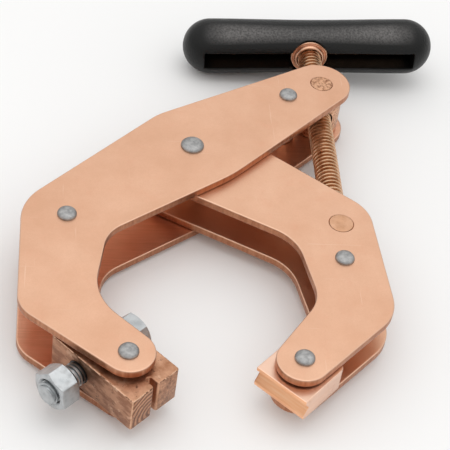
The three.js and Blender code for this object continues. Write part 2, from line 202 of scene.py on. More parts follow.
def belt(wheels):
    """Points and outward normals of a belt round the wheels."""
    leaving = []
    for i, (x, y, radius) in enumerate(wheels):
        next_x, next_y, next_radius = wheels[(i + 1) % len(wheels)]
        run = math.hypot(next_x - x, next_y - y)
        leaving.append(math.atan2(next_y - y, next_x - x) - math.acos((radius - next_radius) / run))
    out = []
    for i, (x, y, radius) in enumerate(wheels):
        turn = (leaving[i] - leaving[i - 1]) % math.tau
        if radius < 0:
            turn -= math.tau
        count = max(2, math.ceil(abs(turn) / ARC_STEP))
        for k in range(count + 1):
            angle = leaving[i - 1] + turn * k / count
            normal = Vector((math.cos(angle), math.sin(angle)))
            out.append((Vector((x, y)) + radius * normal, normal))
    return out


def polygon(corners, radius, steps=4):
    """Points and outward normals of a counter-clockwise polygon with rounded corners."""
    out = []
    count = len(corners)
    for i in range(count):
        here = Vector(corners[i])
        along_in = (here - Vector(corners[i - 1])).normalized()
        along_out = (Vector(corners[(i + 1) % count]) - here).normalized()
        turn = -along_in.angle_signed(along_out)  # angle_signed is positive clockwise
        reach = radius * math.tan(abs(turn) / 2)
        sign = 1 if turn > 0 else -1
        normal_in = Vector((along_in.y, -along_in.x))
        centre = here - along_in * reach - normal_in * radius * sign
        first = math.atan2(normal_in.y, normal_in.x)
        for k in range(steps + 1):
            angle = first + turn * k / steps
            normal = Vector((math.cos(angle), math.sin(angle)))
            out.append((centre + normal * radius * sign, normal))
    return out


def rounded_levels(low, high, edge):
    """Heights and insets of a side wall with rounded edges, from bottom to top."""
    rise = [math.pi / 2 * k / EDGE_STEPS for k in range(EDGE_STEPS + 1)]
    lower = [(low + edge * (1 - math.sin(a)), edge * (1 - math.cos(a))) for a in reversed(rise)]
    upper = [(high - edge * (1 - math.sin(a)), edge * (1 - math.cos(a))) for a in rise]
    hold = edge + FLAT_RING
    return [(low, hold)] + lower + upper + [(high, hold)]


def slab(outline, levels, holes=(), shift=None):
    """A solid between two flat caps. Levels are (height, inset) pairs, holes (x, y, radius).
    It returns the points, the faces, how many of the faces are caps, and the side's points."""
    points, faces, rings = [], [], []
    for height, inset in levels:
        first = len(points)
        for corner, normal in outline:
            flat = corner - normal * inset
            place = Vector((flat.x, flat.y, height))
            points.append(tuple(shift(place) if shift else place))
        rings.append(list(range(first, len(points))))
    side_points = len(points)
    for a, b in zip(rings, rings[1:]):
        faces += ring_faces(a, b)
    low, high = levels[0][0], levels[-1][0]
    edges = {low: [], high: []}
    for x, y, radius in holes:
        hole_rings = []
        for height, r in ((low, radius + HOLE_EDGE), (low + HOLE_EDGE, radius),
                          (high - HOLE_EDGE, radius), (high, radius + HOLE_EDGE)):
            first = len(points)
            for i in range(HOLE_SEGMENTS):
                angle = -math.tau * i / HOLE_SEGMENTS
                points.append((x + r * math.cos(angle), y + r * math.sin(angle), height))
            hole_rings.append(list(range(first, len(points))))
        for a, b in zip(hole_rings, hole_rings[1:]):
            faces += ring_faces(a, b)
        edges[low].append(hole_rings[0])
        edges[high].append(hole_rings[-1])
    caps = 0
    for height, ring in ((low, rings[0]), (high, rings[-1])):
        loops = [ring] + edges[height]
        flat = [index for loop in loops for index in loop]
        for triangle in tessellate_polygon([[Vector(points[i]) for i in loop] for loop in loops]):
            face = [flat[i] for i in triangle]
            a, b, c = (Vector(points[i]) for i in face)
            if ((b - a).cross(c - a).z > 0) != (height == high):
                face.reverse()
            faces.append(tuple(face))
            caps += 1
    return points, faces, caps, side_points


def moved(shape, matrix):
    points, faces = shape[:2]
    return [tuple(matrix @ Vector(p)) for p in points], faces


ALONG_Y = Matrix.Rotation(-math.pi / 2, 4, "X")
ALONG_X = Matrix.Rotation(math.pi / 2, 4, "Y")


def threaded(low, high, major, root, pitch, tail, chamfer=1.2):
    """A right-hand screw thread along Z, with both ends faded out. The tail is a list of
    (radius, height) pairs turned on below it, and a second list above it: ((...), (...))."""
    section = [(root, 0.0), (root, 0.30), (major, 0.43), (major, 0.74), (root, 0.87)]
    section = [(radius, share * pitch) for radius, share in section]
    turns = math.ceil((high - low) / pitch) + 3
    mesh = bmesh.new()
    rows = []
    for i in range(turns * THREAD_STEPS + 1):
        angle = math.tau * i / THREAD_STEPS
        base = low - 1.5 * pitch + pitch * i / THREAD_STEPS
        row = []
        for radius, rise in section:
            height = base + rise
            fade = min(height - low, high - height) / chamfer
            limit = root + (major - root) * max(0.0, min(1.0, fade))
            r = min(radius, limit)
            row.append(mesh.verts.new((r * math.cos(angle), r * math.sin(angle), height)))
        rows.append(row)
    for i in range(len(rows) - 1):
        a, b = rows[i], rows[i + 1]
        for j in range(len(section) - 1):
            mesh.faces.new((a[j], b[j], b[j + 1], a[j + 1]))
        if i + 1 + THREAD_STEPS < len(rows):
            mesh.faces.new((a[-1], b[-1], rows[i + 1 + THREAD_STEPS][0], rows[i + THREAD_STEPS][0]))
    for height, up, turned_on in ((low, -1, tail[0]), (high, 1, tail[1])):
        bmesh.ops.bisect_plane(
            mesh, geom=mesh.verts[:] + mesh.edges[:] + mesh.faces[:], dist=1e-5,
            plane_co=(0, 0, height), plane_no=(0, 0, up), clear_outer=True,
        )
        rim = [v for v in mesh.verts if abs(v.co.z - height) < 1e-4 and v.is_boundary]
        rim.sort(key=lambda v: math.atan2(v.co.y, v.co.x))
        angles = [math.atan2(v.co.y, v.co.x) for v in rim]
        for radius, z in turned_on:
            if radius < ON_AXIS:
                tip = mesh.verts.new((0, 0, z))
                for k in range(len(rim)):
                    mesh.faces.new((rim[k], rim[(k + 1) % len(rim)], tip))
                break
            ring = [mesh.verts.new((radius * math.cos(a), radius * math.sin(a), z)) for a in angles]
            for k in range(len(rim)):
                n = (k + 1) % len(rim)
                mesh.faces.new((rim[k], rim[n], ring[n], ring[k]))
            rim = ring
    bmesh.ops.recalc_face_normals(mesh, faces=mesh.faces)
    mesh.verts.index_update()
    shape = [tuple(v.co) for v in mesh.verts], [tuple(v.index for v in f.verts) for f in mesh.faces]
    mesh.free()
    return shape


def bare_object(name, shape):
    points, faces = shape[:2]
    mesh = bpy.data.meshes.new(name)
    mesh.from_pydata([Vector(p) * MM for p in points], [], faces)
    mesh.update()
    thing = bpy.data.objects.new(name, mesh)
    bpy.context.scene.collection.objects.link(thing)
    return thing


def apply_modifiers(thing):
    bpy.context.view_layer.update()
    evaluated = thing.evaluated_get(bpy.context.evaluated_depsgraph_get())
    mesh = bpy.data.meshes.new_from_object(evaluated)
    thing.modifiers.clear()
    old = thing.data
    thing.data = mesh
    bpy.data.meshes.remove(old)


def combine(base, operation, *shapes):
    """Joins shapes to an object, or cuts them from it."""
    for shape in shapes:
        other = bare_object("tool", shape)
        modifier = base.modifiers.new("boolean", "BOOLEAN")
        modifier.operation = operation
        modifier.object = other
        modifier.solver = "EXACT"
        apply_modifiers(base)
        bpy.data.objects.remove(other)
    return base


def show(node, thing, material, matrix, sharp=38):
    """Puts a finished object in place of the CAD node that it stands for."""
    thing.name = "fine_" + node
    mesh = thing.data
    if not mesh.materials:
        mesh.materials.append(None)
    mesh.materials[0] = material
    if sharp:
        mesh.shade_smooth()
        mesh.set_sharp_from_angle(angle=math.radians(sharp))
    # The turn goes into the mesh and the object keeps only its place.
    mesh.transform(matrix.to_3x3().to_4x4())
    thing.matrix_world = Matrix.Translation(matrix.translation * MM)
    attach(thing, frame["nodes"][node]["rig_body"])
    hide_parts(node)
    return thing


def at(place, angle=0.0):
    return Matrix.Translation(place) @ Matrix.Rotation(angle, 4, "Z")


# ---- Materials
class Look:
    """A Principled material and short ways to add nodes to it."""

    def __init__(self, name, metallic, specular=0.5, turn=(0.0, 0.0, 0.0)):
        self.material = bpy.data.materials.new(name)
        self.material.use_nodes = True
        self.tree = self.material.node_tree
        self.shader = self.tree.nodes["Principled BSDF"]
        self.shader.inputs["Metallic"].default_value = metallic
        self.shader.inputs["Specular IOR Level"].default_value = specular
        place = self.node("ShaderNodeTexCoord").outputs["Object"]
        # Undoes the turn of a piece's own frame, so that its marks follow its faces.
        undo = tuple(-angle for angle in turn)
        self.place = self.node("ShaderNodeMapping", {"Vector": place, "Rotation": undo}).outputs[0]

    def node(self, kind, inputs=(), **settings):
        made = self.tree.nodes.new(kind)
        for key, value in settings.items():
            setattr(made, key, value)
        for key, value in dict(inputs).items():
            self.feed(made.inputs[key], value)
        return made

    def feed(self, socket, value):
        if isinstance(value, bpy.types.NodeSocket):
            self.tree.links.new(value, socket)
        else:
            socket.default_value = value

    def stretched(self, scale, turn=0.0, shift=(0, 0, 0)):
        inputs = {"Vector": self.place, "Scale": scale, "Rotation": (0, 0, turn), "Location": shift}
        return self.node("ShaderNodeMapping", inputs).outputs[0]

    def noise(self, scale, detail=3.0, roughness=0.55, vector=None, distortion=0.0):
        inputs = {"Vector": vector or self.place, "Scale": scale, "Detail": detail,
                  "Roughness": roughness, "Distortion": distortion}
        return self.node("ShaderNodeTexNoise", inputs).outputs["Fac"]

    def cells(self, scale):
        inputs = {"Vector": self.place, "Scale": scale}
        return self.node("ShaderNodeTexVoronoi", inputs, feature="SMOOTH_F1").outputs["Distance"]

    def remap(self, value, low, high, to_low=0.0, to_high=1.0):
        inputs = {0: value, 1: low, 2: high, 3: to_low, 4: to_high}
        return self.node("ShaderNodeMapRange", inputs).outputs[0]

    def math(self, operation, a, b=0.0):
        return self.node("ShaderNodeMath", {0: a, 1: b}, operation=operation).outputs[0]

    def mix(self, share, a, b):
        made = self.node("ShaderNodeMix", data_type="RGBA")
        for index, value in ((0, share), (6, a), (7, b)):
            if not isinstance(value, bpy.types.NodeSocket) and index:
                value = (*value, 1.0)
            self.feed(made.inputs[index], value)
        return made.outputs[2]

    def attribute(self, name):
        return self.node("ShaderNodeAttribute", attribute_name=name).outputs["Fac"]

    def bump(self, height, distance, strength=1.0, below=None):
        inputs = {"Height": height, "Distance": distance, "Strength": strength}
        if below is not None:
            inputs["Normal"] = below
        return self.node("ShaderNodeBump", inputs).outputs[0]

    def finish(self, colour, roughness, normal=None):
        self.feed(self.shader.inputs["Base Color"], colour)
        self.feed(self.shader.inputs["Roughness"], roughness)
        if normal is not None:
            self.feed(self.shader.inputs["Normal"], normal)
        return self.material


def copper_plate(name, shade_and_streaks=0.0):
    """Thin satin copper plating over rolled plate. The sheared side walls are painted darker and redder, as
    painted shade, with shear striations.
    """
    look = Look(name, 1.0)
    clouds = look.noise(38, 4, 0.6)
    blotches = look.noise(140, 3, 0.6, distortion=0.4)
    grain = look.noise(1500, 2, 0.6)
    pale = look.remap(clouds, 0.3, 0.72)
    colour = look.mix(pale, (0.745, 0.430, 0.282), (0.845, 0.520, 0.358))
    warm = look.remap(blotches, 0.55, 0.78, 0.0, 0.4)
    colour = look.mix(warm, colour, (0.79, 0.43, 0.285))
    colour = look.mix(look.remap(grain, 0.35, 0.75, 0.0, 0.14), colour, (0.58, 0.31, 0.19))
    # Handling scratches: thin bright lines where stretched noise crosses a narrow band.
    lines = look.noise(1, 2, 0.5, look.stretched((900, 26, 40), 0.7))
    other = look.noise(1, 2, 0.5, look.stretched((22, 1100, 40), 0.25))
    scratch = look.math("MAXIMUM", look.remap(lines, 0.73, 0.76), look.remap(other, 0.73, 0.76))
    colour = look.mix(look.math("MULTIPLY", scratch, 0.35), colour, (0.93, 0.68, 0.52))
    # Painted shade for the plate inside: this copy is tinted redder, like copper lit only between the
    # plates, and carries dark brushed streaks.
    if shade_and_streaks:
        colour = look.mix(0.5, colour, (0.84, 0.41, 0.27))
        brushed = look.noise(1, 4, 0.7, look.stretched((45, 900, 45), 0.85))
        shade = look.remap(brushed, 0.42, 0.62, 0.0, shade_and_streaks)
        colour = look.mix(shade, colour, (0.36, 0.15, 0.085))
    # Painted shade: the side walls are painted a darker, redder copper, streaked with shear striations.
    wall = look.attribute("wall")
    shear = look.noise(1, 3, 0.6, look.stretched((600, 600, 60)))
    shaded_wall = look.mix(look.remap(shear, 0.35, 0.7), (0.40, 0.165, 0.088), (0.56, 0.27, 0.155))
    colour = look.mix(wall, colour, shaded_wall)
    # Partly edge wear, partly painted highlight: the rounded edges are painted lighter, most at the middle
    # of their round.
    edge_band = look.attribute("edge_band")
    colour = look.mix(look.math("MULTIPLY", edge_band, 0.75), colour, (0.90, 0.62, 0.46))
    rough = look.remap(look.noise(90, 4, 0.6), 0.3, 0.7, 0.33, 0.44)
    fine = look.bump(look.noise(2600, 2, 0.5), 0.00004, 0.5)
    broad = look.bump(look.noise(70, 3, 0.5), 0.0006, 0.12, below=fine)
    return look.finish(colour, rough, broad)


def screw_copper():
    """Browner, oiled copper plating, with painted shade darkening the roots of the thread."""
    look = Look("screw_copper", 1.0)
    clouds = look.noise(160, 4, 0.65)
    colour = look.mix(look.remap(clouds, 0.32, 0.68), (0.64, 0.38, 0.22), (0.86, 0.58, 0.38))
    grime = look.remap(look.noise(620, 3, 0.6), 0.52, 0.72, 0.0, 0.45)
    colour = look.mix(grime, colour, (0.20, 0.085, 0.038))
    # Painted shade: the roots of the thread are darkened in colour.
    root = look.attribute("root")
    colour = look.mix(look.math("MULTIPLY", root, 0.4), colour, (0.24, 0.11, 0.05))
    rough = look.remap(clouds, 0.3, 0.7, 0.24, 0.4)
    return look.finish(colour, rough, look.bump(look.noise(1800, 3, 0.6), 0.00006, 0.6))


def pin_copper(name, dark):
    """Trunnions: plated like the plates, with faint turning rings and a few dark freckles."""
    look = Look(name, 1.0)
    clouds = look.noise(120, 4, 0.65)
    colour = look.mix(look.remap(clouds, 0.3, 0.7), (0.66, 0.36, 0.21), (0.82, 0.50, 0.33))
    freckles = look.remap(look.noise(640, 4, 0.7), 0.46, 0.60, 0.0, dark)
    colour = look.mix(freckles, colour, (0.30, 0.13, 0.07))
    rings = look.node("ShaderNodeTexWave", {"Vector": look.place, "Scale": 420.0, "Distortion": 1.2},
                      wave_type="RINGS", rings_direction="Z").outputs["Fac"]
    normal = look.bump(rings, 0.00005, 0.5, below=look.bump(look.noise(900, 3, 0.6), 0.0001, 0.5))
    return look.finish(colour, look.remap(clouds, 0.3, 0.7, 0.3, 0.42), normal)


def sawn_copper():
    """The bar: brown sawn copper with arcs of the saw, dark patches and bright bare spots."""
    look = Look("sawn_copper", 1.0, turn=(0, 0, GROUND_ANGLE))
    patches = look.noise(110, 5, 0.7)
    colour = look.mix(look.remap(patches, 0.34, 0.62), (0.40, 0.19, 0.105), (0.64, 0.36, 0.23))
    # The long sides are dragged along the bar, in pale and dark patches.
    strokes = look.noise(1, 4, 0.6, look.stretched((120, 200, 260)))
    drawn = look.mix(look.remap(strokes, 0.42, 0.56), (0.27, 0.12, 0.07), (0.50, 0.27, 0.17))
    colour = look.mix(look.math("MULTIPLY", look.attribute("side_face"), 0.8), colour, drawn)
    bare_place = look.stretched((1, 1, 1), shift=(0.3, 0.1, 0))
    bare = look.remap(look.noise(170, 3, 0.55, bare_place), 0.6, 0.66)
    colour = look.mix(look.math("MULTIPLY", bare, 0.5), colour, (0.80, 0.53, 0.37))
    soot_place = look.stretched((1, 1, 1), shift=(0.05, 0.4, 0))
    soot = look.remap(look.noise(330, 5, 0.75, soot_place), 0.6, 0.68)
    colour = look.mix(look.math("MULTIPLY", soot, 0.75), colour, (0.07, 0.035, 0.025))
    # Saw arcs on the clamping end, centred beside the cut.
    swing = look.stretched((1, 1, 1), shift=(0, 0.0020, 0.006))
    side = look.node("ShaderNodeSeparateXYZ", {0: look.place}).outputs[1]
    arcs = look.node("ShaderNodeTexWave", {"Vector": swing, "Scale": 120.0, "Distortion": 2.2,
                                           "Detail": 3.0, "Detail Scale": 3.0},
                     wave_type="RINGS", rings_direction="X").outputs["Fac"]
    end = look.math("MULTIPLY", look.attribute("end_face"), look.remap(side, 0.0, 0.001, 1.0, 0.15))
    ink = look.math("MULTIPLY", end, look.remap(arcs, 0.3, 0.7, 0.8, 0.0))
    colour = look.mix(ink, colour, (0.17, 0.07, 0.038))
    far_land = look.math("MULTIPLY", look.attribute("end_face"), look.remap(side, 0.0, 0.001))
    char = look.math("MULTIPLY", far_land, look.remap(look.noise(420, 5, 0.75), 0.42, 0.62, 0.0, 0.7))
    colour = look.mix(char, colour, (0.12, 0.055, 0.035))
    knocks = look.remap(look.noise(480, 4, 0.7), 0.5, 0.58, 0.65, -0.5)
    edge = look.math("MULTIPLY", look.attribute("edge_band"), knocks)
    colour = look.mix(edge, colour, (0.84, 0.57, 0.40))
    colour = look.mix(look.math("MULTIPLY", edge, -1.5), colour, (0.07, 0.035, 0.025))
    relief = look.math("MULTIPLY", end, arcs)
    fine = look.bump(look.noise(900, 4, 0.65), 0.00014, 0.6)
    rough = look.remap(patches, 0.3, 0.7, 0.34, 0.5)
    return look.finish(colour, rough, look.bump(relief, 0.0002, 0.6, below=fine))


def bright_copper():
    """The swivel jaw: smooth bright plating that mirrors the plates above it."""
    look = Look("bright_copper", 1.0, turn=(0, 0, SWIVEL_ANGLE))
    clouds = look.noise(70, 3, 0.55)
    colour = look.mix(look.remap(clouds, 0.3, 0.7), (0.86, 0.56, 0.41), (0.90, 0.62, 0.48))
    stain = look.remap(look.noise(260, 4, 0.6), 0.58, 0.75, 0.0, 0.35)
    colour = look.mix(stain, colour, (0.62, 0.30, 0.15))
    groove = look.attribute("groove")
    drag = look.noise(1, 3, 0.6, look.stretched((300, 60, 900)))
    tint = look.mix(look.remap(drag, 0.35, 0.65), (0.90, 0.45, 0.24), (0.95, 0.55, 0.33))
    colour = look.mix(groove, colour, tint)
    rough = look.remap(clouds, 0.3, 0.7, 0.26, 0.34)
    return look.finish(colour, rough, look.bump(look.noise(500, 3, 0.5), 0.00005, 0.5))


def rivet_steel():
    """Dull grey steel, hammered at the crown."""
    look = Look("rivet_steel", 1.0)
    clouds = look.noise(420, 4, 0.65)
    colour = look.mix(look.remap(clouds, 0.32, 0.68), (0.25, 0.252, 0.255), (0.50, 0.495, 0.49))
    pits = look.remap(look.noise(1300, 3, 0.7), 0.6, 0.72)
    colour = look.mix(look.math("MULTIPLY", pits, 0.5), colour, (0.13, 0.12, 0.115))
    dents = look.bump(look.noise(380, 3, 0.55), 0.0005, 0.45)
    fine = look.bump(look.noise(1500, 3, 0.6), 0.0001, 0.5, below=dents)
    return look.finish(colour, look.remap(clouds, 0.3, 0.7, 0.42, 0.58), fine)


def zinc_steel():
    """Bright zinc with a faint crystalline mottle, small dull scuffs, and painted shade on the thread next
    to the bar.
    """
    look = Look("zinc_steel", 1.0)
    spangle = look.cells(330)
    clouds = look.noise(260, 4, 0.7)
    colour = look.mix(look.remap(spangle, 0.1, 0.75), (0.40, 0.42, 0.43), (0.56, 0.575, 0.585))
    colour = look.mix(look.remap(clouds, 0.5, 0.72, 0.0, 0.5), colour, (0.34, 0.34, 0.345))
    # Painted shade: the thread next to the bar is darkened in colour.
    colour = look.mix(look.attribute("bar_shade"), colour, (0.07, 0.062, 0.058))
    normal = look.bump(look.noise(600, 4, 0.65), 0.00014, 0.5)
    return look.finish(colour, look.remap(clouds, 0.3, 0.7, 0.26, 0.42), normal)


def black_plastic():
    """Moulded black plastic with a fine leather grain."""
    look = Look("black_plastic", 0.0, specular=0.3, turn=(0, HANDLE_TURN, 0))
    pebbles = look.cells(1150)
    wrinkles = look.noise(800, 4, 0.6, distortion=0.8)
    grain = look.math("ADD", look.math("MULTIPLY", pebbles, 0.7), wrinkles)
    clouds = look.remap(look.noise(60, 5, 0.65), 0.4, 0.8)
    colour = look.mix(clouds, (0.0018, 0.0020, 0.0019), (0.004, 0.0039, 0.0038))
    # Painted highlight: the shoulder that faces up and forward is painted a lighter grey on the crests of
    # the grain, in place of the sheen of the light overhead.
    split = look.node("ShaderNodeSeparateXYZ", {0: look.place})
    highlight_up, highlight_forward = 0.913, 0.407  # the direction of the shoulder
    lean = look.math("SUBTRACT", look.math("MULTIPLY", split.outputs[2], highlight_up),
                     look.math("MULTIPLY", split.outputs[1], highlight_forward))
    up = look.remap(lean, 0.0134, 0.0150)
    ends = look.remap(look.math("ABSOLUTE", split.outputs[0]), 0.045, 0.06, 1.0, 0.0)
    crests = look.remap(grain, 0.55, 1.0, 0.35, 1.0)
    painted_highlight = look.math("MULTIPLY", look.math("MULTIPLY", up, ends), crests)
    # Painted highlight: the masked grain crests are mixed to a lighter grey.
    colour = look.mix(painted_highlight, colour, (0.14, 0.133, 0.13))
    rough = look.remap(look.noise(95, 4, 0.6), 0.3, 0.7, 0.34, 0.42)
    return look.finish(colour, rough, look.bump(grain, 0.0003, 0.5))


PLATE_COPPER = copper_plate("copper_plate")
INNER_SHADED_COPPER = copper_plate("shaded_inner_copper_plate", shade_and_streaks=0.16)
SCREW_COPPER = screw_copper()
NUT_COPPER = pin_copper("nut_pin_copper", 0.9)
SEAT_COPPER = pin_copper("seat_pin_copper", 0.12)
SAWN_COPPER = sawn_copper()
BRIGHT_COPPER = bright_copper()
RIVET_STEEL = rivet_steel()
ZINC_STEEL = zinc_steel()
BLACK_PLASTIC = black_plastic()


def point_values(thing, name, values):
    attribute = thing.data.attributes.new(name, "FLOAT", "POINT")
    attribute.data.foreach_set("value", values)


def face_values(thing, name, test):
    attribute = thing.data.attributes.new(name, "FLOAT", "FACE")
    attribute.data.foreach_set("value", [1.0 if test(face) else 0.0 for face in thing.data.polygons])


def shade_slab(thing, caps, sharp=38):
    """Smooth sides and level caps."""
    mesh = thing.data
    mesh.shade_smooth()
    mesh.set_sharp_from_angle(angle=math.radians(sharp))
    total = len(mesh.polygons)
    for face in mesh.polygons[total - caps:]:
        face.use_smooth = False


# ---- Arm plates
PLATE_EDGE = 0.6
PIN_RING = 0.18  # fine dark ring round each pin
ARC_INSET = 0.03  # keeps the round corners inside the CAD model's facets


def arm_plate(node, wheels, holes, material):
    low, high = span(node, 2)
    levels = rounded_levels(low - MID_Z, high - MID_Z, PLATE_EDGE)
    outline = belt(wheels)
    bores = [(x, y, radius + PIN_RING) for x, y, radius in holes]
    inner_levels = [(height, inset + ARC_INSET) for height, inset in levels]
    points, faces, caps, side_points = slab(outline, inner_levels, bores)
    thing = bare_object(node, (points, faces))
    # The wall share, and a band across each rounded edge that the material paints lighter as edge wear and
    # painted highlight.
    wall, edge_band = [], []
    for height, inset in levels:
        share = min(1.0, inset / PLATE_EDGE)
        wall += [1.0 - share] * len(outline)
        edge_band += [4 * share * (1 - share)] * len(outline)
    rest = len(points) - side_points
    point_values(thing, "wall", wall + [0.0] * rest)
    point_values(thing, "edge_band", edge_band + [0.0] * rest)
    shade_slab(thing, caps)
    show(node, thing, material, at(PIVOT), sharp=0)


def from_pivot(node):
    place = middle(node) - PIVOT
    return place.x, place.y


def pin_hole(joint, radius):
    place = JOINTS[joint] - PIVOT
    return place.x, place.y, radius


left_holes = [
    (0, 0, PIVOT_SHANK),
    pin_hole("nut_trunnion_swivel", NUT_PIN),
    (*from_pivot("tail_rivet"), RIVET_SHANK),
    (*from_pivot("left_heel_rivet"), RIVET_SHANK),
    (*from_pivot("ground_jaw_rivet"), RIVET_SHANK),
]
right_holes = [
    (0, 0, PIVOT_SHANK),
    pin_hole("seat_trunnion_swivel", SEAT_PIN),
    (*from_pivot("right_heel_rivet"), RIVET_SHANK),
    (*from_pivot("swivel_jaw_rivet"), RIVET_SHANK),
]
arm_plate("left_arm_front_plate", LEFT_OUTLINE, left_holes, PLATE_COPPER)
arm_plate("left_arm_rear_plate", LEFT_OUTLINE, left_holes, INNER_SHADED_COPPER)
arm_plate("right_arm_front_plate", RIGHT_OUTLINE, right_holes, PLATE_COPPER)
arm_plate("right_arm_rear_plate", RIGHT_OUTLINE, right_holes, PLATE_COPPER)


# ---- Rivets, spacers and washers
HEAD_HEIGHT = 2.4
HEAD_RIM = 0.14  # share of the height below the dome
HEAD_STEPS = 9
DENT_DEPTH = 0.30


def rivet(node, shank, head):
    """Peened at both ends: a low dome with a flattened, slightly dented crown."""
    low, high = span(node, 2)
    face = (high - low) / 2 - HEAD_HEIGHT
    dome = [(shank, face), (head * 0.985, face), (head, face + HEAD_HEIGHT * HEAD_RIM)]
    for k in range(1, HEAD_STEPS + 1):
        angle = math.pi / 2 * k / HEAD_STEPS
        share = HEAD_RIM + (1 - HEAD_RIM) * math.sin(angle)
        dome.append((head * math.cos(angle) ** 0.72, face + HEAD_HEIGHT * share))
    dome[-1] = (0.0, face + HEAD_HEIGHT)
    lower = [(radius, -height) for radius, height in dome]
    points, faces = lathe(list(reversed(lower)) + dome)
    seed = Vector((*from_pivot(node), 0)) * 0.37
    dented = []
    for x, y, z in points:
        out = abs(z) - face
        if out > 0.1:
            spot = Vector((x, y, z)) * 0.42 + seed
            push = DENT_DEPTH * max(0.0, noise.noise(spot)) * min(1.0, out / HEAD_HEIGHT)
            z -= math.copysign(push, z)
            swell = 1 + 0.025 * noise.noise(spot * 0.5)
            if out < HEAD_HEIGHT * 0.8:
                x, y = x * min(1.0, swell), y * min(1.0, swell)
        dented.append((x, y, z))
    thing = bare_object(node, (dented, faces))
    show(node, thing, RIVET_STEEL, at(middle(node)), sharp=60)


rivet("main_pivot_rivet", PIVOT_SHANK, PIVOT_HEAD)
for node in ("tail_rivet", "left_heel_rivet", "ground_jaw_rivet", "right_heel_rivet",
             "swivel_jaw_rivet"):
    rivet(node, RIVET_SHANK, RIVET_HEAD)


def ring_on_rivet(node, bore, material):
    """A spacer tube or a washer, with its sizes from the CAD node."""
    low, high = span(node, 2)
    left, right = span(node, 0)
    shape = tube(bore + CLEARANCE, (right - left) / 2, high - low)
    show(node, bare_object(node, shape), material, at(middle(node)))


ring_on_rivet("main_pivot_spacer", PIVOT_SHANK, PLATE_COPPER)
for node in ("tail_spacer", "left_heel_spacer", "right_heel_spacer"):
    ring_on_rivet(node, RIVET_SHANK, PLATE_COPPER)
for node in ("ground_jaw_spacer_front", "ground_jaw_spacer_rear",
             "swivel_jaw_washer_front", "swivel_jaw_washer_rear"):
    ring_on_rivet(node, RIVET_SHANK, RIVET_STEEL)


# ---- Trunnions and screw
def trunnion(node, joint, body_radius, pin_radius, gap, bore, material, flats=()):
    shoulder = gap / 2 - CLEARANCE
    end = gap / 2 + PLATE
    dimple = [(0.0, end - 0.16), (1.2, end - 0.14), (2.0, end - 0.06), (3.0, end - 0.03)]
    half = dimple + [(pin_radius, end), (pin_radius, shoulder), (body_radius, shoulder)]
    half = soften(half, 0.35)
    lower = [(radius, -height) for radius, height in half]
    body = bare_object(node, lathe(lower + list(reversed(half)), 72))
    drill = plug(bore, -2 * body_radius, 2 * body_radius, 56)
    cutters = [moved(drill, ALONG_Y)]
    for height in flats:
        depth = body_radius
        width = 1.5 * body_radius
        centre = height + math.copysign(depth / 2, height)
        square = polygon([(-width, -width), (width, -width), (width, width), (-width, width)], 0.2, 1)
        levels = [(centre - depth / 2, 0.0), (centre + depth / 2, 0.0)]
        cutters.append(moved(slab(square, levels), ALONG_Y))
    combine(body, "DIFFERENCE", *cutters)
    show(node, body, material, at(JOINTS[joint]), sharp=30)


NUT_BODY = 12.2
SEAT_BODY = 10.4
SEAT_FLATS = (SCREW_SHOULDER - CLEARANCE, -9.2)
NUT_BORE = SCREW_RADIUS + 0.9  # the screw wanders by half a millimetre over its stroke
trunnion("nut_trunnion", "nut_trunnion_swivel", NUT_BODY, NUT_PIN, LEFT_GAP, NUT_BORE, NUT_COPPER)
trunnion("seat_trunnion", "seat_trunnion_swivel", SEAT_BODY, SEAT_PIN, RIGHT_GAP, SCREW_NECK + CLEARANCE,
         SEAT_COPPER, SEAT_FLATS)


SCREW_SOCKET = 6.3  # the hub's bore, each side of the handle's axis
END_WASHER_RADIUS = 7.0


def screw_spindle():
    """A single-start thread, a plain neck in the seat with a peened end below it,
    and another neck in the handle's hub."""
    top = HANDLE.y - JOINTS["screw_turn"].y
    below = [(SCREW_NECK, SCREW_SHOULDER), (SCREW_NECK, -11.6), (5.7, -11.7), (5.9, -12.4),
             (5.6, -13.6), (4.2, -14.1), (0.0, -14.2)]
    thread_top = top - SCREW_SOCKET
    above = [(SCREW_NECK, thread_top), (SCREW_NECK, top + 5.5), (4.2, top + 6), (0.0, top + 6)]
    shape = threaded(SCREW_SHOULDER, thread_top, SCREW_RADIUS, SCREW_ROOT, SCREW_PITCH, (below, above))
    thing = bare_object("screw", moved(shape, ALONG_Y))
    depth = SCREW_RADIUS - SCREW_ROOT
    # Painted shade: how far each point lies down in the thread's roots, which the material darkens.
    root = []
    for vertex in thing.data.vertices:
        x, y, z = vertex.co / MM
        inside = max(0.0, min(1.0, (SCREW_RADIUS - math.hypot(x, z)) / depth))
        root.append(inside if y > SCREW_SHOULDER else 0.0)
    point_values(thing, "root", root)
    show("screw_spindle", thing, SCREW_COPPER, at(JOINTS["screw_turn"]), sharp=50)


screw_spindle()
end_low, end_high = span("screw_end_washer", 1)
end_washer = tube(SCREW_NECK + CLEARANCE, END_WASHER_RADIUS, end_high - end_low)
end_washer = bare_object("washer", moved(end_washer, ALONG_Y))
show("screw_end_washer", end_washer, RIVET_STEEL, at(middle("screw_end_washer")))


# ---- T-handle
HANDLE_HALF = 69.46
HANDLE_RADIUS = 15.1
HANDLE_WAIST = 14.5
CHANNEL_HALF_HEIGHT = 5.1
CHANNEL_HALF_LENGTH = 58.0
HUB_RADIUS = 8.3
HUB_TOP = 6.5
HUB_BOTTOM = -6.0
HUB_POCKET = 6.9  # top of the grip's pocket for the hub
SPOT_RADIUS = 10.9  # flat on the grip round the screw, for the collar
SPOT_FACE = -7.6
CROSSBAR_RADIUS = 4.7
CROSSBAR_HALF = 55
PAST = 20  # past the grip's surface
VOXEL, QUICK_VOXEL = 0.42, 0.8
handle_place = Matrix.Translation(HANDLE) @ Matrix.Rotation(HANDLE_TURN, 4, "Y")


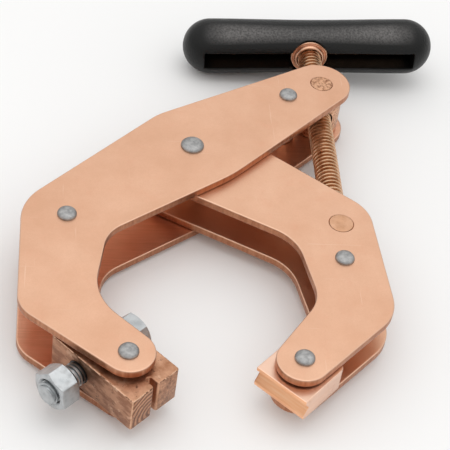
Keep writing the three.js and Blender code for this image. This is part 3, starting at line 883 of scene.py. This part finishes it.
def handle_grip():
    """A waisted capsule with a channel along its lower side and a spot face round the screw."""
    end_centre = HANDLE_HALF - HANDLE_RADIUS
    profile = []
    steps = 20
    for k in range(steps + 1):
        angle = math.pi / 2 * k / steps
        profile.append((HANDLE_RADIUS * math.sin(angle), -end_centre - HANDLE_RADIUS * math.cos(angle)))
    profile[0] = (0.0, -HANDLE_HALF)
    stations = 24
    for k in range(1, stations):
        x = end_centre * (2 * k / stations - 1)
        dip = (HANDLE_RADIUS - HANDLE_WAIST) * (0.5 + 0.5 * math.cos(math.pi * x / end_centre))
        profile.append((HANDLE_RADIUS - dip, x))
    profile += [(radius, -height) for radius, height in reversed(profile[:steps + 1])]
    grip = bare_object("grip", moved(lathe(profile, 96), ALONG_X))
    half, length = CHANNEL_HALF_HEIGHT, CHANNEL_HALF_LENGTH
    section = polygon([(-PAST, -half), (half, -half), (half, half), (-PAST, half)], 2.5)
    lengthwise = slab(section, [(-length, 0.0), (length, 0.0)])
    # Section x becomes +Y, section y becomes +Z, and the length runs along X.
    turn = Matrix(((0, 0, 1, 0), (1, 0, 0, 0), (0, 1, 0, 0), (0, 0, 0, 1)))
    pocket = plug(HUB_RADIUS + CLEARANCE, -PAST, HUB_POCKET, 64)
    spot = plug(SPOT_RADIUS, -PAST, SPOT_FACE, 64)
    combine(grip, "DIFFERENCE", moved(lengthwise, turn), moved(pocket, ALONG_Y), moved(spot, ALONG_Y))
    remesh = grip.modifiers.new("remesh", "REMESH")
    remesh.mode = "VOXEL"
    remesh.voxel_size = VOXEL * MM
    smooth = grip.modifiers.new("smooth", "SMOOTH")
    smooth.factor = 0.5
    smooth.iterations = 3
    apply_modifiers(grip)
    grip_object = show("handle_grip", grip, BLACK_PLASTIC, handle_place, sharp=0)
    grip_object.data.shade_smooth()


def handle_crossbar():
    radius, half = CROSSBAR_RADIUS, CROSSBAR_HALF
    bar = soften([(0, -half), (radius, -half), (radius, half), (0, half)], 0.8)
    hub = soften([(0, HUB_BOTTOM), (HUB_RADIUS, HUB_BOTTOM), (HUB_RADIUS, HUB_TOP), (0, HUB_TOP)], 0.6)
    thing = bare_object("crossbar", moved(lathe(bar, 40), ALONG_X))
    combine(thing, "UNION", moved(lathe(hub, 64), ALONG_Y))
    bore = plug(SCREW_NECK + CLEARANCE, -PAST, SCREW_SOCKET, 48)
    combine(thing, "DIFFERENCE", moved(bore, ALONG_Y))
    show("handle_crossbar", thing, SCREW_COPPER, handle_place)


def handle_collar():
    """Dished, with a raised lip round the screw and a turned-up rim."""
    profile = [(6.7, -8.0), (6.7, -11.55), (7.1, -11.9), (7.7, -11.8), (8.2, -11.1), (8.45, -9.7),
               (8.9, -9.6), (9.4, -10.2), (9.85, -10.35), (10.2, -9.9), (10.1, -8.9), (9.5, -8.0)]
    thing = bare_object("collar", moved(lathe(soften(profile, 0.3, closed=True, steps=2), 72), ALONG_Y))
    show("handle_collar", thing, PLATE_COPPER, at(HANDLE), sharp=60)


handle_grip()
handle_crossbar()
handle_collar()


# ---- Ground jaw: in its own frame, +X points out of the clamping face, with the rivet at the origin
ground_place = at(JOINTS["ground_jaw_swivel"], GROUND_ANGLE)
GROUND_WIDTH = 28.4
GROUND_LENGTH = 50.8
GROUND_THICKNESS = 19.05
GROUND_REACH = 17.9
BOLT_BACK = 15.3
BOLT_RADIUS = 5.56
KERF_WIDTH = 2.7
KERF_DEPTH = 5.6
BAR_CORNER = 1.34
BAR_EDGE = 0.55
WEAR_REACH = 0.5  # from an edge


def ground_block():
    rear = GROUND_REACH - GROUND_LENGTH
    half = GROUND_WIDTH / 2
    kerf = KERF_WIDTH / 2
    floor = GROUND_REACH - KERF_DEPTH
    corners = [(rear, -half), (GROUND_REACH, -half), (GROUND_REACH, -kerf), (floor, -kerf),
               (floor, kerf), (GROUND_REACH, kerf), (GROUND_REACH, half), (rear, half)]
    outline = polygon(corners, BAR_CORNER, 6)
    levels = rounded_levels(-GROUND_THICKNESS / 2, GROUND_THICKNESS / 2, BAR_EDGE)
    thing = bare_object("ground_block", slab(outline, levels, [(0, 0, RIVET_SHANK + CLEARANCE)]))
    drill = plug(BOLT_RADIUS + CLEARANCE, -20, 20, 48)
    combine(thing, "DIFFERENCE", moved(drill, Matrix.Translation((-BOLT_BACK, 0, 0)) @ ALONG_Y))
    edge_band = []
    for vertex in thing.data.vertices:
        x, y, z = vertex.co / MM
        off_top = GROUND_THICKNESS / 2 - abs(z)
        off_front = GROUND_REACH - x
        off_side = half - abs(y)
        near = sum(1 for gap in (off_top, off_front, off_side) if gap < WEAR_REACH)
        edge_band.append(1.0 if near > 1 else 0.0)

    def on_end(face):
        return face.normal.x > 0.9 and face.center.x / MM > floor + 1

    def on_side(face):
        return abs(face.normal.y) > 0.9 and abs(face.center.y / MM) > kerf + 1

    face_values(thing, "end_face", on_end)
    face_values(thing, "side_face", on_side)
    point_values(thing, "edge_band", edge_band)
    show("ground_jaw_block", thing, SAWN_COPPER, ground_place, sharp=25)


HEX_RADIUS = 17.46 / math.sqrt(3)
HEX_CORNER = 0.45
HEX_SPACING = 0.8  # of the points along its sides
CHAMFER_SLOPE = math.tan(math.radians(28))
BORE_FLARE = 0.9  # out, at each end of the nut's bore
BORE_FLARE_DEPTH = 0.8


def hex_body(low, high, turn, bore, chamfer_low, chamfer_high):
    """A hexagon about Z with its corners turned down and its first corner at the angle turn.
    The bore is a radius, or 0 for none."""
    inner = HEX_RADIUS * 0.86
    angles = [turn + math.radians(60 * k) for k in range(6)]
    corners = [(HEX_RADIUS * math.cos(a), HEX_RADIUS * math.sin(a)) for a in angles]
    outline = [pair[0] for pair in polygon(corners, HEX_CORNER, 3)]
    dense = []
    for i, here in enumerate(outline):
        after = outline[(i + 1) % len(outline)]
        parts = max(1, round((after - here).length / HEX_SPACING))
        dense += [here.lerp(after, k / parts) for k in range(parts)]

    def level(shape_radius, height):
        return [(*(p.normalized() * shape_radius), height) for p in dense]

    drop = [max(0.0, (p.length - inner) * CHAMFER_SLOPE) for p in dense]
    rings = []
    if chamfer_low:
        rings.append(level(inner, low))
    rings.append([(p.x, p.y, low + (d if chamfer_low else 0)) for p, d in zip(dense, drop)])
    rings.append([(p.x, p.y, high - (d if chamfer_high else 0)) for p, d in zip(dense, drop)])
    if chamfer_high:
        rings.append(level(inner, high))
    if bore:
        wide = bore + BORE_FLARE
        rings += [level(wide, high), level(bore, high - BORE_FLARE_DEPTH),
                  level(bore, low + BORE_FLARE_DEPTH), level(wide, low)]
        rings.append(rings[0])
    points = [p for ring in (rings[:-1] if bore else rings) for p in ring]
    count = len(dense)
    order = [list(range(k * count, (k + 1) * count)) for k in range(len(points) // count)]
    faces = []
    for a, b in zip(order, order[1:]):
        faces += ring_faces(a, b)
    if bore:
        faces += ring_faces(order[-1], order[0])
    else:
        faces += [tuple(reversed(order[0])), tuple(order[-1])]
    return points, faces


HEAD_THICKNESS = 7.6
NUT_THICKNESS = 9.5
HEAD_FROM = GROUND_WIDTH / 2 + CLEARANCE
NUT_STAND_OFF = 7.4
BOLT_TAIL = 2.4
NUT_FROM = GROUND_WIDTH / 2 + NUT_STAND_OFF
BOLT_END = NUT_FROM + NUT_THICKNESS + BOLT_TAIL
BOLT_PITCH = 25.4 / 14
BOLT_ROOT = BOLT_RADIUS - 0.95
THREAD_END = -8  # inside the bar
# Painted shade on the thread next to the bar, in colour only.
BAR_SHADE_LIMIT = 16.6  # the thread is dark from the bar to here
# Corners measured from the jaw's +X towards -Z, about its +Y.
HEAD_TURN = math.radians(34 - 90)
NUT_TURN = math.radians(-10.2 - 90)
bolt_place = ground_place @ Matrix.Translation((-BOLT_BACK, 0, 0))


def ground_bolt():
    head = hex_body(HEAD_FROM, HEAD_FROM + HEAD_THICKNESS, HEAD_TURN, 0, False, True)
    thing = bare_object("bolt", moved(head, ALONG_Y))
    below = [(BOLT_RADIUS - 1.2, -BOLT_END), (0.0, -BOLT_END)]
    in_head = HEAD_FROM + 2
    above = [(BOLT_RADIUS, THREAD_END), (BOLT_RADIUS, in_head), (0.0, in_head)]
    shank = threaded(-BOLT_END, THREAD_END, BOLT_RADIUS, BOLT_ROOT, BOLT_PITCH, (below, above), chamfer=0.9)
    combine(thing, "UNION", moved(shank, ALONG_Y))
    on_shank = (BOLT_RADIUS + 0.14) * MM
    # Painted shade on the thread near the bar.
    bar_shade = [max(0.0, min(0.85, v.co.y / MM + BAR_SHADE_LIMIT)) if math.hypot(v.co.x, v.co.z) < on_shank else 0.0
            for v in thing.data.vertices]
    point_values(thing, "bar_shade", bar_shade)
    show("ground_bolt", thing, ZINC_STEEL, bolt_place)


def ground_nut():
    nut = hex_body(-NUT_FROM - NUT_THICKNESS, -NUT_FROM, NUT_TURN, BOLT_RADIUS + CLEARANCE, True, True)
    show("ground_nut", bare_object("nut", moved(nut, ALONG_Y)), ZINC_STEEL, bolt_place)


ground_block()
ground_bolt()
ground_nut()


# ---- Swivel jaw: in its own frame, +X points out of the clamping face, with the rivet at the origin
swivel_place = at(JOINTS["swivel_jaw_swivel"], SWIVEL_ANGLE)
SWIVEL_WIDTH = 28.0
SWIVEL_LENGTH = 28.6
SWIVEL_THICKNESS = 12.7
SWIVEL_REACH = 15.4
GROOVE_CENTRE = 0.7
GROOVE_HALF = 3.9
GROOVE_DEPTH = 2.9
LOWER_LIP = 2.0
FRONT_CORNER = 0.5
REAR_CORNER = 3.0
FRONT_ZONE = 8  # in front of this, the points follow the clamping face


def swivel_block():
    half = SWIVEL_THICKNESS / 2
    side = SWIVEL_WIDTH / 2
    rear = SWIVEL_REACH - SWIVEL_LENGTH
    corners = [(rear, -side), (SWIVEL_REACH, -side), (SWIVEL_REACH, side), (rear, side)]
    front = [pair for pair in polygon(corners, FRONT_CORNER) if pair[0].x > 0]
    back = [pair for pair in polygon(corners, REAR_CORNER, 8) if pair[0].x < 0]
    # Both lists run counter-clockwise: the rear corner at -Y, the front corners, the rear corner at +Y.
    outline = [pair for pair in back if pair[0].y < 0] + front + [pair for pair in back if pair[0].y > 0]

    def sink(height):
        """How far the clamping face stands back at a height: its groove and its round lower edge."""
        depth = GROOVE_DEPTH * max(0.0, 1 - abs(height - GROOVE_CENTRE) / GROOVE_HALF)
        low = height + half
        if low < LOWER_LIP:
            depth += LOWER_LIP - math.sqrt(max(0.0, LOWER_LIP**2 - (LOWER_LIP - low) ** 2))
        return depth

    def shift(place):
        if place.x > FRONT_ZONE:
            place.x -= sink(place.z)
        return place

    levels = rounded_levels(-half, half, 0.4)
    inner = [-half + 0.8, -half + 1.3, -half + LOWER_LIP, GROOVE_CENTRE - GROOVE_HALF,
             GROOVE_CENTRE - GROOVE_HALF + 0.3, GROOVE_CENTRE - 0.4, GROOVE_CENTRE, GROOVE_CENTRE + 0.4,
             GROOVE_CENTRE + GROOVE_HALF - 0.3, GROOVE_CENTRE + GROOVE_HALF]
    cut = len(levels) // 2
    levels = levels[:cut] + [(height, 0.0) for height in inner] + levels[cut:]
    shape = slab(outline, levels, [(0, 0, RIVET_SHANK + CLEARANCE)], shift)
    thing = bare_object("swivel_block", shape)
    face_values(thing, "groove", lambda face: face.center.x > FRONT_ZONE * MM and face.normal.x > 0.3)
    shade_slab(thing, shape[2], sharp=22)
    show("swivel_jaw_block", thing, BRIGHT_COPPER, swivel_place, sharp=0)


swivel_block()


# ---- Camera, light and floor
SENSOR_WIDTH = 36
FOCAL_LENGTH, FRAME_WIDTH = 1522, 450  # in one unit


def camera():
    """Looking down from the front, turned a little to the right, and rolled."""
    elevation = math.radians(44.06)
    azimuth = math.radians(9.74)
    roll = math.radians(9.12)
    target = Vector((-15.76, -37.25, 34.82)) * MM
    distance = 715.7 * MM
    forward = Vector((math.cos(elevation) * math.sin(azimuth),
                      math.cos(elevation) * math.cos(azimuth), -math.sin(elevation)))
    right = Vector((math.cos(azimuth), -math.sin(azimuth), 0))
    up = right.cross(forward)
    across = right * math.cos(roll) + up * math.sin(roll)
    upward = up * math.cos(roll) - right * math.sin(roll)
    data = bpy.data.cameras.new("camera")
    data.sensor_width = SENSOR_WIDTH
    data.lens = SENSOR_WIDTH * FOCAL_LENGTH / FRAME_WIDTH
    data.clip_start = 0.01
    data.clip_end = 20
    thing = bpy.data.objects.new("camera", data)
    turn = Matrix((across, upward, -forward)).transposed().to_4x4()
    thing.matrix_world = Matrix.Translation(target - forward * distance) @ turn
    bpy.context.scene.collection.objects.link(thing)
    bpy.context.scene.camera = thing


def softbox(name, place, aim, size, power):
    data = bpy.data.lights.new(name, "AREA")
    data.shape = "RECTANGLE"
    data.size, data.size_y = size
    data.energy = power
    thing = bpy.data.objects.new(name, data)
    thing.location = place
    thing.rotation_euler = (Vector(aim) - Vector(place)).to_track_quat("-Z", "Y").to_euler()
    bpy.context.scene.collection.objects.link(thing)


def floor():
    look = Look("floor", 0.0, specular=0.1)
    tone = look.remap(look.noise(3, 2, 0.5), 0.3, 0.7, 0.90, 0.94)
    colour = look.node("ShaderNodeCombineColor", {0: tone, 1: tone, 2: tone}).outputs[0]
    material = look.finish(colour, 0.9)
    size = 4000.0
    shape = ([(-size, -size, 0), (size, -size, 0), (size, size, 0), (-size, size, 0)], [(0, 1, 2, 3)])
    thing = bare_object("floor", shape)
    thing.data.materials.append(material)


def surroundings():
    world = bpy.data.worlds.new("studio")
    world.use_nodes = True
    background = world.node_tree.nodes["Background"]
    # Brighter overhead than at the horizon.
    tree = world.node_tree
    direction = tree.nodes.new("ShaderNodeTexCoord").outputs["Generated"]
    split = tree.nodes.new("ShaderNodeSeparateXYZ")
    tree.links.new(direction, split.inputs[0])
    rise = tree.nodes.new("ShaderNodeMapRange")
    rise.interpolation_type = "SMOOTHSTEP"
    from_low, from_high, to_low, to_high = 1, 2, 3, 4
    for socket, value in ((from_low, -0.1), (from_high, 0.6), (to_low, 0.36), (to_high, 0.99)):
        rise.inputs[socket].default_value = value
    tree.links.new(split.outputs["Z"], rise.inputs[0])
    tree.links.new(rise.outputs[0], background.inputs["Strength"])
    background.inputs["Color"].default_value = (1.0, 0.995, 0.985, 1.0)
    bpy.context.scene.world = world
    bpy.context.scene.view_settings.view_transform = "Standard"


camera()
floor()
surroundings()
softbox("top_light", (0.02, 0.05, 1.15), (0.02, 0.05, 0), (1.0, 0.7), 2.0)
